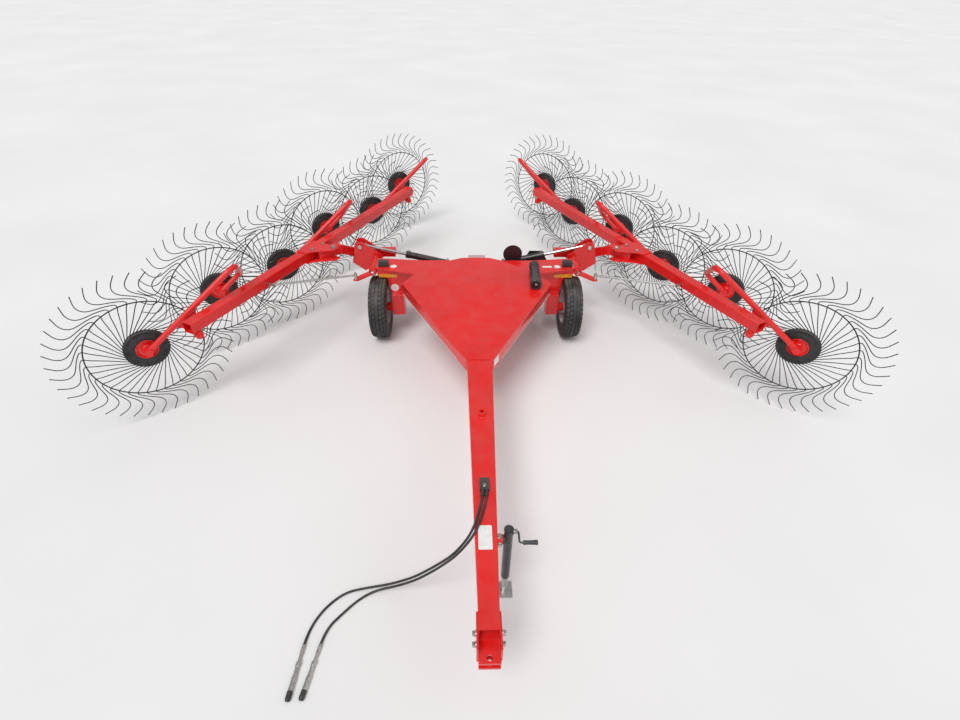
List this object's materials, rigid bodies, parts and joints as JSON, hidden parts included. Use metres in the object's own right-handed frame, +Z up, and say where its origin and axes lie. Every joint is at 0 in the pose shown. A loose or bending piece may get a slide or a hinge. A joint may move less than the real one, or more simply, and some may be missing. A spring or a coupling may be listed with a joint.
{
  "type": "wheel rake",
  "caption": "Towed carted V rake: two folding wings of floating finger wheels on a central chassis with drawbar, jack and transport wheels.",
  "frame": {"origin": "on the ground, midway between the two sides and midway along the machine without its hoses", "axes": "+X to the right seen from the front, +Y to the rear, +Z up"},
  "size_m": [6.784, 6.8714, 1.4],
  "materials": {
    "red_paint": "gloss paint",
    "black_paint": "satin paint",
    "rim_paint": "silver paint",
    "zinc_steel": "zinc plated",
    "coupler_steel": "zinc plated",
    "chrome_rod": "polished",
    "tyre_rubber": "matte",
    "black_rubber": "matte",
    "black_hose": "satin",
    "black_plastic": "matte",
    "amber_plastic": "prismatic",
    "sign_plate": "sheet"
  },
  "bodies": {
    "chassis": {"cross_frame": "red_paint", "hood": "red_paint", "drawbar": "red_paint", "hitch_clevis": "red_paint", "jack_body": "black_paint", "marker_lamps": "black_plastic", "amber_reflectors": "amber_plastic", "rear_signs": "sign_plate", "manual_canister": "black_plastic", "hose_outlet": "black_plastic", "hose_1": "black_hose", "hose_2": "black_hose", "hose_couplers": "coupler_steel"},
    "left_wing": {"left_wing_beam": "red_paint", "left_tandem_arm_1": "red_paint", "left_tandem_arm_2": "red_paint", "left_tandem_arm_3": "red_paint", "left_swing_bracket": "red_paint", "left_centre_plates": "red_paint", "left_tie_rod": "zinc_steel"},
    "left_rake_wheel_1": {"left_rake_wheel_1": "black_rubber", "left_wheel_hub_1": "red_paint"},
    "left_rake_wheel_2": {"left_rake_wheel_2": "black_rubber", "left_wheel_hub_2": "red_paint"},
    "left_rake_wheel_3": {"left_rake_wheel_3": "black_rubber", "left_wheel_hub_3": "red_paint"},
    "left_rake_wheel_4": {"left_rake_wheel_4": "black_rubber", "left_wheel_hub_4": "red_paint"},
    "left_rake_wheel_5": {"left_rake_wheel_5": "black_rubber", "left_wheel_hub_5": "red_paint"},
    "left_rake_wheel_6": {"left_rake_wheel_6": "black_rubber", "left_wheel_hub_6": "red_paint"},
    "left_transport_wheel": {"left_tyre": "tyre_rubber", "left_rim": "rim_paint"},
    "left_cylinder_barrel": {"left_cylinder_barrel": "black_paint"},
    "left_cylinder_rod": {"left_cylinder_rod": "chrome_rod"},
    "right_wing": {"right_wing_beam": "red_paint", "right_tandem_arm_1": "red_paint", "right_tandem_arm_2": "red_paint", "right_tandem_arm_3": "red_paint", "right_swing_bracket": "red_paint", "right_centre_plates": "red_paint", "right_tie_rod": "zinc_steel"},
    "right_rake_wheel_1": {"right_rake_wheel_1": "black_rubber", "right_wheel_hub_1": "red_paint"},
    "right_rake_wheel_2": {"right_rake_wheel_2": "black_rubber", "right_wheel_hub_2": "red_paint"},
    "right_rake_wheel_3": {"right_rake_wheel_3": "black_rubber", "right_wheel_hub_3": "red_paint"},
    "right_rake_wheel_4": {"right_rake_wheel_4": "black_rubber", "right_wheel_hub_4": "red_paint"},
    "right_rake_wheel_5": {"right_rake_wheel_5": "black_rubber", "right_wheel_hub_5": "red_paint"},
    "right_rake_wheel_6": {"right_rake_wheel_6": "black_rubber", "right_wheel_hub_6": "red_paint"},
    "right_transport_wheel": {"right_tyre": "tyre_rubber", "right_rim": "rim_paint"},
    "right_cylinder_barrel": {"right_cylinder_barrel": "black_paint"},
    "right_cylinder_rod": {"right_cylinder_rod": "chrome_rod"},
    "jack_leg": {"jack_leg": "zinc_steel"}
  },
  "joints": [
    {"name": "left_fold", "type": "hinge", "parent": "chassis", "child": "left_wing", "pos_m": [-1.075, 0.44431, 0.755], "axis": [0, 1, 0], "range_deg": [0, 88]},
    {"name": "left_rake_wheel_1_spin", "type": "hinge", "parent": "left_wing", "child": "left_rake_wheel_1", "pos_m": [-2.82365, -0.96181, 0.7], "axis": [0.5878, -0.809, 0], "continuous": true},
    {"name": "left_rake_wheel_2_spin", "type": "hinge", "parent": "left_wing", "child": "left_rake_wheel_2", "pos_m": [-2.5688, 0.01443, 0.7], "axis": [0.5878, -0.809, 0], "continuous": true},
    {"name": "left_rake_wheel_3_spin", "type": "hinge", "parent": "left_wing", "child": "left_rake_wheel_3", "pos_m": [-2.07403, 0.54168, 0.7], "axis": [0.5878, -0.809, 0], "continuous": true},
    {"name": "left_rake_wheel_4_spin", "type": "hinge", "parent": "left_wing", "child": "left_rake_wheel_4", "pos_m": [-1.81918, 1.51792, 0.7], "axis": [0.5878, -0.809, 0], "continuous": true},
    {"name": "left_rake_wheel_5_spin", "type": "hinge", "parent": "left_wing", "child": "left_rake_wheel_5", "pos_m": [-1.32442, 2.04517, 0.7], "axis": [0.5878, -0.809, 0], "continuous": true},
    {"name": "left_rake_wheel_6_spin", "type": "hinge", "parent": "left_wing", "child": "left_rake_wheel_6", "pos_m": [-1.06957, 3.02141, 0.7], "axis": [0.5878, -0.809, 0], "continuous": true},
    {"name": "left_transport_wheel_spin", "type": "hinge", "parent": "chassis", "child": "left_transport_wheel", "pos_m": [-1.03, 0.27431, 0.335], "axis": [1, 0, 0], "continuous": true},
    {"name": "left_barrel_swing", "type": "hinge", "parent": "chassis", "child": "left_cylinder_barrel", "pos_m": [-0.215, 0.65631, 0.64], "axis": [0, 1, 0], "range_deg": [0, 7.9]},
    {"name": "left_rod_slide", "type": "slide", "parent": "left_cylinder_barrel", "child": "left_cylinder_rod", "axis": [0.9726, 0, -0.2325], "range_m": [0, 0.267]},
    {"name": "right_fold", "type": "hinge", "parent": "chassis", "child": "right_wing", "pos_m": [1.075, 0.44431, 0.755], "axis": [0, -1, 0], "range_deg": [0, 88]},
    {"name": "right_rake_wheel_1_spin", "type": "hinge", "parent": "right_wing", "child": "right_rake_wheel_1", "pos_m": [2.82365, -0.96181, 0.7], "axis": [-0.5878, -0.809, 0], "continuous": true},
    {"name": "right_rake_wheel_2_spin", "type": "hinge", "parent": "right_wing", "child": "right_rake_wheel_2", "pos_m": [2.5688, 0.01443, 0.7], "axis": [-0.5878, -0.809, 0], "continuous": true},
    {"name": "right_rake_wheel_3_spin", "type": "hinge", "parent": "right_wing", "child": "right_rake_wheel_3", "pos_m": [2.07403, 0.54168, 0.7], "axis": [-0.5878, -0.809, 0], "continuous": true},
    {"name": "right_rake_wheel_4_spin", "type": "hinge", "parent": "right_wing", "child": "right_rake_wheel_4", "pos_m": [1.81918, 1.51792, 0.7], "axis": [-0.5878, -0.809, 0], "continuous": true},
    {"name": "right_rake_wheel_5_spin", "type": "hinge", "parent": "right_wing", "child": "right_rake_wheel_5", "pos_m": [1.32442, 2.04517, 0.7], "axis": [-0.5878, -0.809, 0], "continuous": true},
    {"name": "right_rake_wheel_6_spin", "type": "hinge", "parent": "right_wing", "child": "right_rake_wheel_6", "pos_m": [1.06957, 3.02141, 0.7], "axis": [-0.5878, -0.809, 0], "continuous": true},
    {"name": "right_transport_wheel_spin", "type": "hinge", "parent": "chassis", "child": "right_transport_wheel", "pos_m": [1.03, 0.27431, 0.335], "axis": [1, 0, 0], "continuous": true},
    {"name": "right_barrel_swing", "type": "hinge", "parent": "chassis", "child": "right_cylinder_barrel", "pos_m": [0.215, 0.65631, 0.64], "axis": [0, -1, 0], "range_deg": [0, 7.9]},
    {"name": "right_rod_slide", "type": "slide", "parent": "right_cylinder_barrel", "child": "right_cylinder_rod", "axis": [-0.9726, 0, -0.2325], "range_m": [0, 0.267]},
    {"name": "jack_slide", "type": "slide", "parent": "chassis", "child": "jack_leg", "axis": [0, 0, 1], "range_m": [0, 0.15]}
  ],
  "couplings": [
    {"joint": "left_barrel_swing", "follows": "left_fold", "ratio": 0.0874},
    {"joint": "left_rod_slide", "follows": "left_fold", "m_per_rad": 0.1725},
    {"joint": "right_barrel_swing", "follows": "right_fold", "ratio": 0.0874},
    {"joint": "right_rod_slide", "follows": "right_fold", "m_per_rad": 0.1725}
  ]
}
